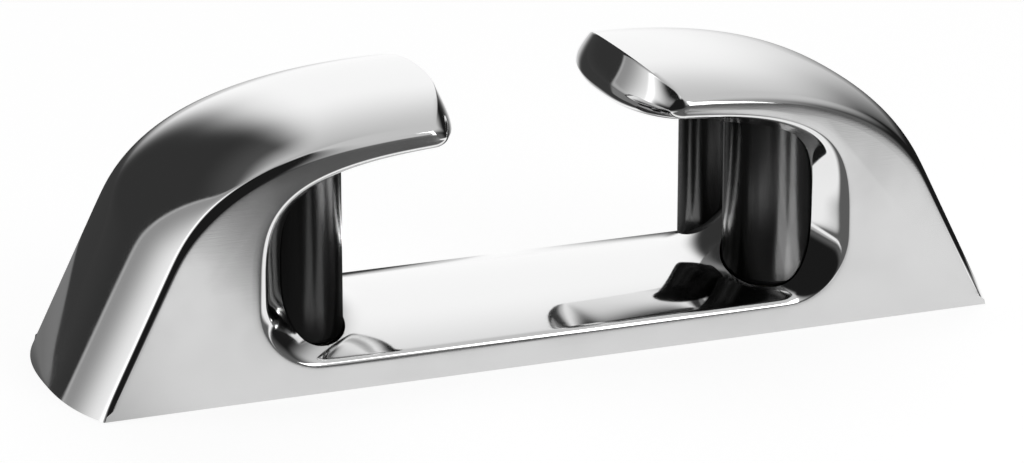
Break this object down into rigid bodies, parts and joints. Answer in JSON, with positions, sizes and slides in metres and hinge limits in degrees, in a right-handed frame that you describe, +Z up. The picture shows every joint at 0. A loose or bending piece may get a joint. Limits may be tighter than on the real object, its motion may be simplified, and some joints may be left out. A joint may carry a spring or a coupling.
{
  "type": "roller fairlead",
  "caption": "Open bow chock, a polished stainless casting with two hooked horns, whose upright plastic rollers guide a mooring line through the throat.",
  "frame": {"origin": "middle of the flat underside", "axes": "+X along the length to the right horn, +Z up from the deck, the line runs along Y"},
  "size_m": [0.3158, 0.0804, 0.0905],
  "materials": {
    "polished_stainless": "mirror polished cast 316 stainless steel, satin on the flat faces",
    "black_nylon": "turned black nylon, semi-gloss",
    "white_acetal": "plain acetal sheet",
    "turned_stainless": "as turned"
  },
  "bodies": {
    "chock": {"chock_body": "polished_stainless", "left_front_lower_washer": "white_acetal", "left_front_upper_washer": "white_acetal", "left_front_pin": "turned_stainless", "left_front_bottom_plug": "turned_stainless", "left_front_retaining_ring": "turned_stainless", "left_rear_lower_washer": "white_acetal", "left_rear_upper_washer": "white_acetal", "left_rear_pin": "turned_stainless", "left_rear_bottom_plug": "turned_stainless", "left_rear_retaining_ring": "turned_stainless", "right_front_lower_washer": "white_acetal", "right_front_upper_washer": "white_acetal", "right_front_pin": "turned_stainless", "right_front_bottom_plug": "turned_stainless", "right_front_retaining_ring": "turned_stainless", "right_rear_lower_washer": "white_acetal", "right_rear_upper_washer": "white_acetal", "right_rear_pin": "turned_stainless", "right_rear_bottom_plug": "turned_stainless", "right_rear_retaining_ring": "turned_stainless"},
    "left_front_roller_body": {"left_front_roller": "black_nylon"},
    "left_rear_roller_body": {"left_rear_roller": "black_nylon"},
    "right_front_roller_body": {"right_front_roller": "black_nylon"},
    "right_rear_roller_body": {"right_rear_roller": "black_nylon"}
  },
  "joints": [
    {"name": "left_front_roller_spin", "type": "hinge", "parent": "chock", "child": "left_front_roller_body", "pos_m": [-0.0816, -0.0181, 0.0418], "axis": [0, 0, 1], "continuous": true},
    {"name": "left_rear_roller_spin", "type": "hinge", "parent": "chock", "child": "left_rear_roller_body", "pos_m": [-0.0816, 0.0181, 0.0418], "axis": [0, 0, 1], "continuous": true},
    {"name": "right_front_roller_spin", "type": "hinge", "parent": "chock", "child": "right_front_roller_body", "pos_m": [0.0816, -0.0181, 0.0418], "axis": [0, 0, 1], "continuous": true},
    {"name": "right_rear_roller_spin", "type": "hinge", "parent": "chock", "child": "right_rear_roller_body", "pos_m": [0.0816, 0.0181, 0.0418], "axis": [0, 0, 1], "continuous": true}
  ]
}
